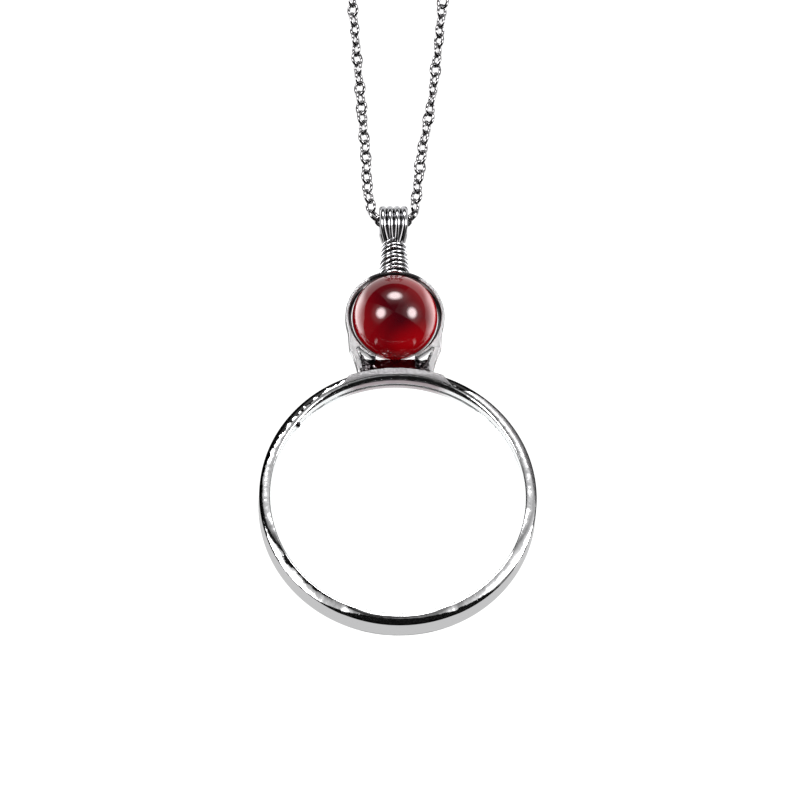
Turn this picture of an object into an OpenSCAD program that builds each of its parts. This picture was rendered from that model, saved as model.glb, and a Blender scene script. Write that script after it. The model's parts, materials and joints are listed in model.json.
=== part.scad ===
// Magnifier pendant on a fine chain, hanging as it does in wear.
// The pendant hangs in the XZ plane and its front faces -Y. The origin is at the back of the neck,
// under the clasp, where the necklace is held up.

/* [Lens ring] */
// Outer diameter of the ring
ring_d = 45; // [42:0.5:50]
// Radial thickness of the ring
ring_wall = 1.8; // [1.6:0.1:2.4]
// Depth of the ring from front to back
ring_depth = 5.3; // [4:0.1:6]
// Radius of the ring's rounded edges
ring_edge_r = 0.45; // [0.2:0.05:0.7]
// Distance from the bail's centre down to the ring's centre
ring_drop = 49.7; // [49.6:0.1:49.8]

/* [Lens] */
// Depth of the lens's edge in the ring's groove
lens_seat = 0.5; // [0.3:0.1:0.7]
// Thickness of the lens at its rim
lens_rim = 1.3; // [1:0.1:1.6]
// Radius of each of the lens's two faces
lens_face_r = 146; // [120:2:200]

/* [Bead and bezel] */
// Diameter of the round bead
bead_d = 13.9; // [13.4:0.1:14]
// Distance from the bail's centre down to the bead's centre
bead_drop = 17; // [16.9:0.1:17.1]
// Thickness of the bezel's band
bezel_wall = 0.55; // [0.4:0.05:0.6]
// Depth of the bezel and the legs from front to back
bezel_depth = 2.2; // [1.8:0.1:2.6]
// How far the bezel and the legs lean back towards their lower ends
bezel_tilt = 7.5; // [0:0.5:9]
// How far each half of the oval bezel stands off to its side
bezel_oval = 0.45; // [0.2:0.05:0.6]

/* [Bail and neck] */
// Number of wire loops side by side
loop_count = 4; // [3:1:5]
// Thickness of each loop's wire
loop_wire = 1.14; // [1:0.01:1.15]
// Distance between the loops
loop_pitch = 1.16; // [1.1:0.01:1.16]
// Diameter of the hole that the chain runs through
loop_hole = 3.16; // [3.1:0.02:3.4]
// Thickness of the wire wound round the neck
wrap_wire_d = 0.6; // [0.4:0.05:0.65]
// Number of turns of that wire
wrap_turns = 7.5; // [5:0.5:7.5]

/* [Chain and clasp] */
// Thickness of the chain as a plain round strand
chain_d = 1.8; // [1.4:0.1:1.8]
// Length of the clasp
clasp_length = 12; // [11:0.5:12]
// Width of the clasp
clasp_width = 5.6; // [4:0.2:6]
// Thickness of the clasp
clasp_depth = 2.4; // [2:0.1:2.4]

/* [Hidden] */
$fn = 96;
// Small gap between neighbouring pieces
gap = 0.08;
// Depth by which one metal form is sunk into the next, so that they are one solid
sink = 0.15;
ring_r = ring_d / 2;
ring_inner_r = ring_r - ring_wall;
lens_r = ring_inner_r + lens_seat;
bead_r = bead_d / 2;
bezel_inner_r = bead_r + 0.1;
bezel_outer_r = bezel_inner_r + bezel_wall;
loop_r = (loop_hole + loop_wire) / 2;

// The saddle foot on the ring's top: half its width at its lower and its upper edge, the width of
// its band, and how far it stands proud of the ring
saddle_half = 9.3;
saddle_top_half = 7.6;
saddle_width = 0.8;
saddle_proud = 0.15;
// The legs' outline, from the bezel down to the ring.
// Columns: height below the bead's centre, outer half-width, inner half-width
LEG = [
    [0.6, 8.05, 7.5],
    [5.4, 7.45, 6.3],
    [8.2, 6.4, 5.2],
    [10.2, 6.15, 4.7],
    [11.1, 6.7, 4.4],
    [11.9, 7.5, 4.2]
];
// How far the bezel's middle is behind the bead's, and half the width of the opening under the bead
bezel_back = 0.1;
opening_half = 3.2;
// The sloping web that closes the space between the legs, and how far it is behind the bead's middle
web_thick = 1;
web_slope = 22;
web_back = 1.2;

// The neck is a slender cone, with a steeper one above it where the loops run in.
// Columns: height below the bail's centre, radius
NECK = [
    [2, 1.9],
    [3.8, 1.45],
    [9.75, 1.87]
];
// Where the wound wire's first and last turns lie below the bail's centre
wrap_top = 4;
wrap_bottom = 9;
wrap_steps = 14;
wrap_sides = 6;
// Thickness of the solder that joins the loops' middles
loop_join = 0.4;

// The chain's route, seen from the front, round the whole loop from one end of the clasp to the other.
// Columns: distance to the right, height above the bail's centre
ROUTE = [
    [-6.4, 325.6], [-17.5, 321.5], [-26.8, 313.7], [-32.9, 303.2], [-35, 289], [-33.6, 268],
    [-24, 190], [-13.5, 105], [-6.25, 39.4], [-5.6, 29.9], [-5, 21.2], [-4.4, 12.2],
    [-3.75, 3.2], [-3.3, 1.4], [-2.2, 0.35], [0, 0.35], [2.2, 0.35], [3.3, 1.4], [3.6, 3.2],
    [4.75, 12.2], [6.4, 21], [7.5, 29.6], [8.6, 39.4], [16, 105], [25, 190], [33.8, 268],
    [35, 289], [32.9, 303.2], [26.8, 313.7], [17.5, 321.5], [6.4, 325.6]
];
// Radius of the clasp's eye and of the hole through it, and half the width of the claw's slot and
// where the slot ends, to the right of the clasp's middle
eye_r = 1.7;
eye_hole_r = 0.8;
slot_r = 1.5;
slot_end = -1;
// Height of the loop's top above the bail's centre, along the chain's middle
route_top = 326.2;
route_steps = 2;
chain_sides = 8;
// The bail's centre, measured down from the origin
bail_z = clasp_depth / 2 - route_top;

// Point t of the way from p1 to p2 on a smooth curve through p0, p1, p2 and p3
function slope_at(p0, p1, p2) =
    let (a = norm(p1 - p0), b = norm(p2 - p1)) ((p1 - p0) / a * b + (p2 - p1) / b * a) / (a + b);
function between(p0, p1, p2, p3, t) =
    let (
        d = norm(p2 - p1),
        m1 = p0 == p1 ? (p2 - p1) / d : slope_at(p0, p1, p2),
        m2 = p2 == p3 ? (p2 - p1) / d : slope_at(p1, p2, p3)
    )
    (2 * pow(t, 3) - 3 * pow(t, 2) + 1) * p1 + (pow(t, 3) - 2 * pow(t, 2) + t) * d * m1
    + (3 * pow(t, 2) - 2 * pow(t, 3)) * p2 + (pow(t, 3) - pow(t, 2)) * d * m2;
function smooth_path(p, steps) =
    let (last = len(p) - 1)
    [
        for (i = [0 : last - 1], k = [0 : steps - 1])
            between(p[max(i - 1, 0)], p[i], p[i + 1], p[min(i + 2, last)], k / steps),
        p[last]
    ];
function unit(v) = v / norm(v);
// Direction of path p at its point i
function heading(p, i) = unit(p[min(i + 1, len(p) - 1)] - p[max(i - 1, 0)]);

// Round strand of diameter d along path p. side is a direction that the path never takes
module strand(p, d, sides, side) {
    rings = len(p);
    points = [
        for (i = [0 : rings - 1])
            let (t = heading(p, i), u = unit(cross(t, side)), v = cross(t, u))
            for (k = [0 : sides - 1])
                let (a = 360 * (k + 0.5) / sides)
                p[i] + d / 2 * (cos(a) * u + sin(a) * v)
    ];
    walls = [
        for (i = [0 : rings - 2], k = [0 : sides - 1])
            let (a = i * sides + k, b = i * sides + (k + 1) % sides)
            [a, a + sides, b + sides, b]
    ];
    first = [for (k = [0 : sides - 1]) k];
    last = [for (k = [sides - 1 : -1 : 0]) (rings - 1) * sides + k];
    polyhedron(points, concat([first], walls, [last]), convexity = 10);
}

// Flat shape drawn as seen from the front, given its depth from front to back about the middle
module plate(depth) {
    translate([0, depth / 2, 0])
        rotate([90, 0, 0])
            linear_extrude(depth)
                children();
}

module oval(r) {
    for (x = [-bezel_oval, bezel_oval])
        translate([x, 0])
            circle(r);
    square([2 * bezel_oval, 2 * r], center = true);
}

module lens_ring() {
    groove_half = lens_rim / 2 + 2 * gap;
    e = ring_edge_r;
    translate([0, 0, -ring_drop])
        rotate([90, 0, 0])
            rotate_extrude()
                difference() {
                    union() {
                        translate([ring_inner_r, e - ring_depth / 2])
                            square([ring_wall, ring_depth - 2 * e]);
                        translate([ring_inner_r + e, -ring_depth / 2])
                            square([ring_wall - 2 * e, ring_depth]);
                        for (x = [ring_inner_r + e, ring_r - e], y = [-1, 1] * (ring_depth / 2 - e))
                            translate([x, y])
                                circle(e);
                    }
                    translate([ring_inner_r - 1, -groove_half])
                        square([1 + lens_seat + gap, 2 * groove_half]);
                }
}

// Foot that follows the ring's top and is cut off slanting at its two tips
module saddle() {
    low_r = ring_r - saddle_width;
    high_r = ring_r + saddle_proud;
    tip = sqrt(pow(low_r, 2) - pow(saddle_half, 2));
    shoulder = sqrt(pow(high_r, 2) - pow(saddle_top_half, 2));
    plate(ring_depth + 2 * saddle_proud)
        translate([0, -ring_drop])
            intersection() {
                difference() {
                    circle(high_r);
                    circle(low_r);
                }
                polygon([
                    [-saddle_half, tip], [-saddle_top_half, shoulder], [-saddle_top_half, ring_d],
                    [saddle_top_half, ring_d], [saddle_top_half, shoulder], [saddle_half, tip]
                ]);
            }
}

// Bezel and two legs, bent as one flat strap that is open under the bead
module cradle() {
    translate([0, 0, -bead_drop])
        rotate([bezel_tilt, 0, 0])
            translate([0, bezel_back, 0])
                plate(bezel_depth)
                    difference() {
                        union() {
                            oval(bezel_outer_r);
                            for (s = [-1, 1])
                                polygon(concat(
                                    [for (row = LEG) [s * row[1], -row[0]]],
                                    [for (i = [len(LEG) - 1 : -1 : 0]) [s * LEG[i][2], -LEG[i][0]]]
                                ));
                        }
                        oval(bezel_inner_r);
                        translate([-opening_half, -bead_d])
                            square([2 * opening_half, bead_d]);
                    }
}

module web() {
    top = bead_drop + bezel_outer_r - sink;
    height = ring_drop - ring_r + 2 * sink - top;
    half = LEG[2][2] + sink;
    translate([0, web_back, -top - height / 2])
        rotate([-web_slope, 0, 0])
            cube([2 * half, web_thick, height / cos(web_slope)], center = true);
}

module neck() {
    for (i = [1 : len(NECK) - 1])
        translate([0, 0, -NECK[i][0]])
            cylinder(r1 = NECK[i][1], r2 = NECK[i - 1][1], h = NECK[i][0] - NECK[i - 1][0]);
}

// Loops of round wire side by side, joined through their middles
module bail() {
    half = (loop_count - 1) / 2 * loop_pitch;
    rotate([0, 90, 0]) {
        for (i = [0 : loop_count - 1])
            translate([0, 0, i * loop_pitch - half])
                rotate_extrude()
                    translate([loop_r, 0])
                        circle(d = loop_wire);
        rotate_extrude()
            translate([loop_r - loop_join / 2, -half])
                square([loop_join, 2 * half]);
    }
}

module setting() {
    color("silver")
        translate([0, 0, bail_z]) {
            lens_ring();
            saddle();
            cradle();
            web();
            neck();
            bail();
        }
}

// Wire wound round the neck as a tapering coil, rising to the right at the front
module wrap_wire() {
    rings = ceil(wrap_turns * wrap_steps);
    coil = [
        for (i = [0 : rings])
            let (
                a = 90 + 360 * i / wrap_steps,
                h = wrap_bottom - (wrap_bottom - wrap_top) * i / rings,
                r = lookup(h, [for (row = NECK) [row[0], row[1]]]) + gap + wrap_wire_d / 2
            )
            [r * cos(a), r * sin(a), -h]
    ];
    color("lightgray")
        translate([0, 0, bail_z])
            strand(coil, wrap_wire_d, wrap_sides, [0, 0, 1]);
}

module bead() {
    color("darkred")
        translate([0, 0, bail_z - bead_drop])
            sphere(bead_r);
}

module lens() {
    // Height of each face's centre of curvature on the far side of the lens
    centre = sqrt(pow(lens_face_r, 2) - pow(lens_r, 2)) - lens_rim / 2;
    color("lightcyan", 0.4)
        translate([0, 0, bail_z - ring_drop])
            rotate([90, 0, 0])
                rotate_extrude()
                    intersection() {
                        translate([0, -ring_depth])
                            square([lens_r, 2 * ring_depth]);
                        translate([0, centre])
                            circle(lens_face_r, $fn = 1440);
                        translate([0, -centre])
                            circle(lens_face_r, $fn = 1440);
                    }
}

module chain() {
    route = smooth_path(ROUTE, route_steps);
    color("gray")
        translate([0, 0, bail_z])
            strand([for (p = route) [p[0], 0, p[1]]], chain_d, chain_sides, [0, 1, 0]);
}

// Flat claw at one end and an eye at the other, as one plain piece
module clasp() {
    claw_r = clasp_width / 2;
    claw_x = clasp_length / 2 - claw_r;
    eye_x = clasp_length / 2 - eye_r;
    color("gray")
        linear_extrude(clasp_depth)
            difference() {
                union() {
                    translate([claw_x, 0])
                        circle(claw_r);
                    translate([-eye_x, 0])
                        circle(eye_r);
                    translate([-eye_x, -eye_r])
                        square([eye_x + claw_x, 2 * eye_r]);
                }
                for (x = [slot_end, claw_x])
                    translate([x, 0])
                        circle(slot_r);
                translate([slot_end, -slot_r])
                    square([claw_x - slot_end, 2 * slot_r]);
                translate([-eye_x, 0])
                    circle(eye_hole_r);
            }
}

setting();
wrap_wire();
bead();
lens();
chain();
clasp();
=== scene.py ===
"""Magnifier pendant on a cable chain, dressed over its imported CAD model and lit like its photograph."""
import json
import math

import bmesh
import bpy
from mathutils import Matrix, Vector, noise


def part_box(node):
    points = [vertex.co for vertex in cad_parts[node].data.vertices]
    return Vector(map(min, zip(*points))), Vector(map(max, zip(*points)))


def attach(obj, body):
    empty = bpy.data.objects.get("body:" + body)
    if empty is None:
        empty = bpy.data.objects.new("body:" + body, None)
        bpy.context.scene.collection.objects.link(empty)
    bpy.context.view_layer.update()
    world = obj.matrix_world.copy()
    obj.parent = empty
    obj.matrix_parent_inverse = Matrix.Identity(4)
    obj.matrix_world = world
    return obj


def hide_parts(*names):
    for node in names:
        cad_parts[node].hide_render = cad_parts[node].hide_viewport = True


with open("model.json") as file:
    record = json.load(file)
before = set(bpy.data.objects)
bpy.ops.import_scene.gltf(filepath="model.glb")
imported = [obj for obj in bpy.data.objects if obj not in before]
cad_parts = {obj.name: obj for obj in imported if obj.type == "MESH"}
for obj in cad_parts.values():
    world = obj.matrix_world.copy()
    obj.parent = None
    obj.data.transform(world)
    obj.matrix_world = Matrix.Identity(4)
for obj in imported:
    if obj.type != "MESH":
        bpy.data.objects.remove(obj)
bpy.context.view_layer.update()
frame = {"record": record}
# The noise starts from a fixed number, so that the solder has the same shape each run
noise.seed_set(1)

# Places and sizes, in metres

MM = 0.001
SWING = frame["record"]["behaviour"]["joints"][0]
BAIL = Vector(SWING["pos_m"])
SETTING_LOW, SETTING_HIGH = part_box("setting")
BEAD_LOW, BEAD_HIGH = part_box("bead")
BEAD = (BEAD_LOW + BEAD_HIGH) / 2
BEAD_R = (BEAD_HIGH.z - BEAD_LOW.z) / 2
GAP = 0.08 * MM

RING_R = (SETTING_HIGH.x - SETTING_LOW.x) / 2
RING = Vector((0, 0, SETTING_LOW.z + RING_R))
RING_WALL = 1.8 * MM
RING_DEPTH = 5.3 * MM
RING_INNER = RING_R - RING_WALL
RING_STEPS = 360
# How far the ring's edges are rounded. The front's inner edge is rounder at the top
EDGE, EDGE_IN_TOP = 0.25 * MM, 0.8 * MM
# The front's outer edge is worn rounder about this angle, and its rounding stops short of the wall by the cut
WORN_TURN = math.radians(-76)
EDGE_OUT_WORN = 1.75 * MM
OUTER_CUT, OUTER_CUT_WORN = math.radians(22), math.radians(38)
# The ring's domed faces slope by these angles at their inner and outer edges. On the ring's lower flanks the
# front's inner slope turns the other way
DOME_IN, DOME_OUT = math.radians(11), math.radians(23)
DOME_IN_FLANK = -1.2 * DOME_IN
# Where these changes begin and where they are complete, as shares of the way from the ring's middle to its
# top, to the worn angle and to its bottom, near which the flanks end
TOP_SPAN, WORN_SPAN, FLANK_SPAN, FLANK_END = (0.55, 0.9), (0.62, 0.9), (0.1, 0.5), (0.9, 0.985)
LENS_SEAT = 0.5 * MM
LENS_RIM = 1.3 * MM
LENS_FACE_R = 146 * MM
# The burr inside the ring: its radius, its angle round from the right and its place before the ring's middle
BURR_R, BURR_TURN, BURR_BEFORE = 0.42 * MM, math.radians(141), 1.75 * MM

BEZEL_INNER = BEAD_R + 0.1 * MM
BEZEL_OUTER = BEZEL_INNER + 0.55 * MM
BEZEL_OVAL = 0.45 * MM
BEZEL_DEPTH = 2.2 * MM
BEZEL_TILT = math.radians(7.5)
BEZEL_BACK = 0.1 * MM
BEZEL_ROUNDING = 0.16 * MM
OPENING_HALF = 3.2 * MM
# The angles, in degrees below the bead's middle, at which the legs leave the bezel outside and inside
LEG_OUTSIDE, LEG_INSIDE = 18, 44
# The legs' outline. Columns: height below the bead's centre, outer half-width, inner half-width
LEG = [
    (5.4, 7.45, 6.3), (8.2, 6.4, 5.2), (10.2, 6.15, 4.7), (11.1, 6.7, 4.4), (11.9, 7.5, 4.2)
]
# The seats' lower and upper ends, in degrees from the bead's middle, and their thickness and width
SEAT_LOW, SEAT_HIGH = -64, 50
SEAT, SEAT_ROUNDING = 0.5 * MM, 0.04 * MM
SADDLE_HALF = 9.3 * MM
SADDLE_TOP_HALF = 7.6 * MM
SADDLE_WIDTH = 1.1 * MM
SADDLE_PROUD = 0.15 * MM
SADDLE_ROUNDING = 0.12 * MM
WEB_SLOPE = math.radians(22)
WEB_BACK = 1.2 * MM
WEB_RISE = 0.6 * MM
WEB_HALF = 5.3 * MM
WEB_THICK = 1.0 * MM
# How far the web's face is uneven, and how much further at its ends
WEB_ROUGH, WEB_END_ROUGH = 0.10 * MM, 0.3 * MM
# How many bumps of noise there are to a metre on the web and on the lumps of solder
WEB_GRAIN, LUMP_GRAIN = 1400, 2600
# The lumps of solder. Columns: place to the right of, behind and above the bead's centre, radius
SOLDER_LUMPS = [
    (-4.9, -0.5, -9.6, 0.75), (-4.4, -0.3, -10.1, 0.6), (4.8, -0.5, -9.7, 0.65),
    (4.3, -0.3, -10.2, 0.5), (-5.1, -0.6, -8.7, 0.5), (5.0, -0.6, -8.9, 0.4)
]
# The seam of small lumps down each leg's inner edge: its first place on the right, and the step to the next
SEAM_START, SEAM_STEP = (5.8, -0.4, -6.3), (-0.09, 0.04, -0.22)
SEAM_LUMPS = 9

LOOP_COUNT = 4
LOOP_PITCH = 1.16 * MM
LOOP_WIRE = 1.14 * MM
LOOP_R = (3.16 * MM + LOOP_WIRE) / 2
# The wires' tails below the loops. Columns: distance to the front, height above the bail's centre
LOOP_TAIL = [(2.12, -0.55), (1.95, -1.3), (1.62, -2.2), (1.25, -3.1), (0.92, -3.9), (0.8, -4.5)]
# The share of their spacing that the tails lose, and the depths below that centre between which they lose it
TAILS_CLOSE, CLOSE_FROM, CLOSE_TO = 0.42, 1.2, 4.2
# The neck. Columns: height below the bail's centre, radius
NECK = [(2.0, 1.9), (3.8, 1.48), (9.2, 2.02)]
NECK_END, NECK_END_R = 9.7, 1.1
# The round wire that ends the neck: its ring's radius, its own radius and its depth below the bail's centre
NECK_FOOT_R, NECK_FOOT_WIRE, NECK_FOOT_BELOW = 2.08 * MM, 0.27 * MM, 9.62 * MM
WRAP_WIRE = 0.42 * MM
WRAP_TURNS = 7.5
WRAP_TOP, WRAP_BOTTOM = 4.0 * MM, 9.5 * MM
# How far the winding wanders, how far it bows up at the front, and its slope to the right
WRAP_WANDER, WRAP_BOW, WRAP_SLOPE = 0.28, 0.2, 0.1

LINK_LENGTH = 2.75 * MM
LINK_WIDTH = 2.3 * MM
LINK_WIRE = 0.62 * MM
LINK_PITCH = 1.76 * MM
LINK_PLAY = 0.38
# The chain's route round the whole loop. Columns: distance to the right, height above the bail's centre
CHAIN_ROUTE = [
    (-5.2, 325.9), (-6.4, 325.6), (-17.5, 321.5), (-26.8, 313.7), (-32.9, 303.2), (-35, 289), (-33.6, 268),
    (-24, 190), (-13.5, 105), (-6.25, 39.4), (-5.6, 29.9), (-5, 21.2), (-4.4, 12.2),
    (-3.75, 3.2), (-3.3, 1.4), (-2.2, 0.35), (0, 0.35), (2.2, 0.35), (3.3, 1.4), (3.6, 3.2),
    (4.75, 12.2), (6.4, 21), (7.5, 29.6), (8.6, 39.4), (16, 105), (25, 190), (33.8, 268),
    (35, 289), (32.9, 303.2), (26.8, 313.7), (17.5, 321.5), (6.4, 325.6), (5.2, 325.9)
]
# The clasp: the radii of its eye, of the eye's hole and of the slot's ends, the slot's left end and its edges
CLASP_EYE, CLASP_HOLE, CLASP_SLOT = 1.7 * MM, 0.8 * MM, 1.5 * MM
CLASP_SLOT_LEFT, CLASP_ROUNDING = -1.0 * MM, 0.5 * MM


# Mesh helpers

def linked(name, mesh):
    piece = bpy.data.objects.new(name, mesh)
    bpy.context.scene.collection.objects.link(piece)
    return piece


def dressed(piece, material, sharp=math.radians(35)):
    """Merges doubles, turns the faces outwards and gives smooth shading and the material."""
    mesh = piece.data
    bm = bmesh.new()
    bm.from_mesh(mesh)
    bmesh.ops.remove_doubles(bm, verts=bm.verts, dist=1e-7)
    bmesh.ops.recalc_face_normals(bm, faces=bm.faces)
    bm.to_mesh(mesh)
    bm.free()
    mesh.shade_smooth()
    mesh.set_sharp_from_angle(angle=sharp)
    mesh.materials.clear()
    mesh.materials.append(material)
    return piece


def finished(name, bm, material, sharp=math.radians(35)):
    """Piece made of a mesh that is being edited."""
    mesh = bpy.data.meshes.new(name)
    bm.to_mesh(mesh)
    bm.free()
    return dressed(linked(name, mesh), material, sharp)


def turned_faces(steps, count, closed=True):
    """Faces between the profiles of count points that stand at each step of a full turn."""
    faces = []
    for i in range(steps):
        j = (i + 1) % steps
        for k in range(count if closed else count - 1):
            m = (k + 1) % count
            faces.append((i * count + k, i * count + m, j * count + m, j * count + k))
    return faces


def lathe(name, profile, centre, about, material, steps=256, closed=True):
    """Turns a profile of (radius, height) round the Y or Z axis through centre."""
    verts = []
    for i in range(steps):
        a = 2 * math.pi * i / steps
        for radius, height in profile:
            x, z = radius * math.cos(a), radius * math.sin(a)
            spot = Vector((x, height, z)) if about == "Y" else Vector((x, z, height))
            verts.append(centre + spot)
    mesh = bpy.data.meshes.new(name)
    mesh.from_pydata(verts, [], turned_faces(steps, len(profile), closed))
    return dressed(linked(name, mesh), material)


def mixed(first, second, share):
    return first + (second - first) * share


def eased(value, start, end):
    """Goes smoothly from 0 to 1 while value goes from start to end."""
    t = min(1.0, max(0.0, (value - start) / (end - start)))
    return t * t * (3 - 2 * t)


def dome(low, high, level, inner, outer, start, end, steps, cut=0.0):
    """Top of a section from its high to its low radius: a rounded edge, a dome and a rounded edge.

    The outer rounding stops short of the upright by the angle cut, and meets the wall there in a corner.
    """
    high += outer * (1 - math.cos(cut))
    width = high - low - outer * (1 - math.sin(end)) - inner * (1 - math.sin(start))
    curve_r = width / (math.sin(end) + math.sin(start))
    spots = []
    for k in range(steps):
        a = cut + (math.pi / 2 - end - cut) * k / steps
        spots.append((high - outer + outer * math.cos(a), outer * math.sin(a)))
    first = (high - outer * (1 - math.sin(end)), outer * math.cos(end))
    centre = (first[0] - curve_r * math.sin(end), first[1] - curve_r * math.cos(end))
    for k in range(2 * steps + 1):
        a = end - (end + start) * k / (2 * steps)
        spots.append((centre[0] + curve_r * math.sin(a), centre[1] + curve_r * math.cos(a)))
    last = (spots[-1][0] + inner * math.sin(start), spots[-1][1] - inner * math.cos(start))
    for k in range(1, steps + 1):
        a = start + (math.pi / 2 - start) * k / steps
        spots.append((last[0] - inner * math.sin(a), last[1] + inner * math.cos(a)))
    rise = level - (centre[1] + curve_r)
    return [(r, h + rise) for r, h in spots]


def front_plate(name, outlines, centre, depth, rounding, material):
    """Plate cut to outlines drawn as seen from the front, with rounded edges."""
    curve = bpy.data.curves.new(name, "CURVE")
    curve.dimensions = "2D"
    curve.fill_mode = "BOTH"
    curve.extrude = depth / 2 - rounding
    curve.bevel_depth = rounding
    curve.bevel_resolution = 3
    curve.offset = -rounding
    for outline in outlines:
        spline = curve.splines.new("POLY")
        spline.points.add(len(outline) - 1)
        spline.use_cyclic_u = True
        for point, (x, z) in zip(spline.points, outline):
            point.co = (x, z, 0, 1)
    cutter = linked(name + "_curve", curve)
    mesh = bpy.data.meshes.new_from_object(cutter.evaluated_get(bpy.context.evaluated_depsgraph_get()))
    bpy.data.objects.remove(cutter)
    mesh.name = name
    mesh.transform(Matrix.Translation(centre) @ Matrix.Rotation(math.pi / 2, 4, "X"))
    return dressed(linked(name, mesh), material)


def arc(centre, radius, start, end, steps):
    """Points on an arc in the front plane, from start to end in degrees."""
    turns = [math.radians(mixed(start, end, k / steps)) for k in range(steps + 1)]
    return [(centre[0] + radius * math.cos(a), centre[1] + radius * math.sin(a)) for a in turns]


def smooth_route(points, steps):
    """Dense points on a smooth curve through the given ones."""
    points = [Vector(p) for p in points]
    route, last = [], len(points) - 1
    for i in range(last):
        before, here = points[max(i - 1, 0)], points[i]
        there, after = points[i + 1], points[min(i + 2, last)]
        span = (there - here).length
        pulls = []
        for a, b, c in ((before, here, there), (here, there, after)):
            p, q = (b - a).length, (c - b).length
            pulls.append(((b - a) / p * q + (c - b) / q * p) / (p + q) if p and q else (there - here) / span)
        for k in range(steps):
            t = k / steps
            route.append(
                (2 * t**3 - 3 * t**2 + 1) * here + (t**3 - 2 * t**2 + t) * span * pulls[0]
                + (3 * t**2 - 2 * t**3) * there + (t**3 - t**2) * span * pulls[1]
            )
    return route + [points[last]]


def route_mesh(name, routes, closed=False):
    """Mesh of edges along each route."""
    verts, edges = [], []
    for route in routes:
        first = len(verts)
        verts += route
        edges += [(first + i, first + i + 1) for i in range(len(route) - 1)]
        if closed:
            edges.append((len(verts) - 1, first))
    mesh = bpy.data.meshes.new(name)
    mesh.from_pydata(verts, edges, [])
    return linked(name, mesh)


# Geometry Nodes trees

def put(tree, kind, inputs=None, **settings):
    """Adds a node to a tree, with its settings and with a value or a link for each of its inputs."""
    node = tree.nodes.new(kind)
    for key, value in settings.items():
        setattr(node, key, value)
    for key, value in (inputs or {}).items():
        if isinstance(value, bpy.types.NodeSocket):
            tree.links.new(value, node.inputs[key])
        else:
            node.inputs[key].default_value = value
    return node


class Tree:
    """One Geometry Nodes tree with named inputs for its sizes."""

    def __init__(self, name, sizes):
        self.group = bpy.data.node_groups.new(name, "GeometryNodeTree")
        self.group.interface.new_socket("Geometry", in_out="INPUT", socket_type="NodeSocketGeometry")
        self.sockets = {}
        for label, kind in sizes.items():
            socket = self.group.interface.new_socket(label, in_out="INPUT", socket_type=kind)
            self.sockets[label] = socket.identifier
        self.group.interface.new_socket("Geometry", in_out="OUTPUT", socket_type="NodeSocketGeometry")
        self.start = self.group.nodes.new("NodeGroupInput")
        self.end = self.group.nodes.new("NodeGroupOutput")

    def add(self, kind, inputs=None, **settings):
        return put(self.group, kind, inputs, **settings)

    def finish(self, geometry):
        """Ends the tree with real, smooth geometry and its material."""
        real = self.add("GeometryNodeRealizeInstances", {"Geometry": geometry})
        smooth = self.add("GeometryNodeSetShadeSmooth", {"Geometry": real.outputs[0]})
        finish = self.add(
            "GeometryNodeSetMaterial",
            {"Geometry": smooth.outputs[0], "Material": self.start.outputs["Material"]},
        )
        self.group.links.new(finish.outputs[0], self.end.inputs[0])


def grown(route, tree, values, name):
    """Runs a tree on a route and returns the result as a plain mesh piece."""
    modifier = route.modifiers.new(tree.group.name, "NODES")
    modifier.node_group = tree.group
    for label, value in values.items():
        modifier[tree.sockets[label]] = value
    route.update_tag()
    graph = bpy.context.evaluated_depsgraph_get()
    mesh = bpy.data.meshes.new_from_object(route.evaluated_get(graph))
    mesh.name = name
    route.modifiers.remove(modifier)
    bpy.data.objects.remove(route)
    return linked(name, mesh)


def wire_tree():
    """Round wire along a route."""
    tree = Tree("round wire", {
        "Wire radius": "NodeSocketFloat", "Sides": "NodeSocketInt", "Material": "NodeSocketMaterial",
    })
    path = tree.add("GeometryNodeMeshToCurve", {"Mesh": tree.start.outputs["Geometry"]})
    section = tree.add("GeometryNodeCurvePrimitiveCircle", {
        "Radius": tree.start.outputs["Wire radius"], "Resolution": tree.start.outputs["Sides"],
    })
    wire = tree.add("GeometryNodeCurveToMesh", {
        "Curve": path.outputs[0], "Profile Curve": section.outputs[0], "Fill Caps": True,
    })
    tree.finish(wire.outputs[0])
    return tree


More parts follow.
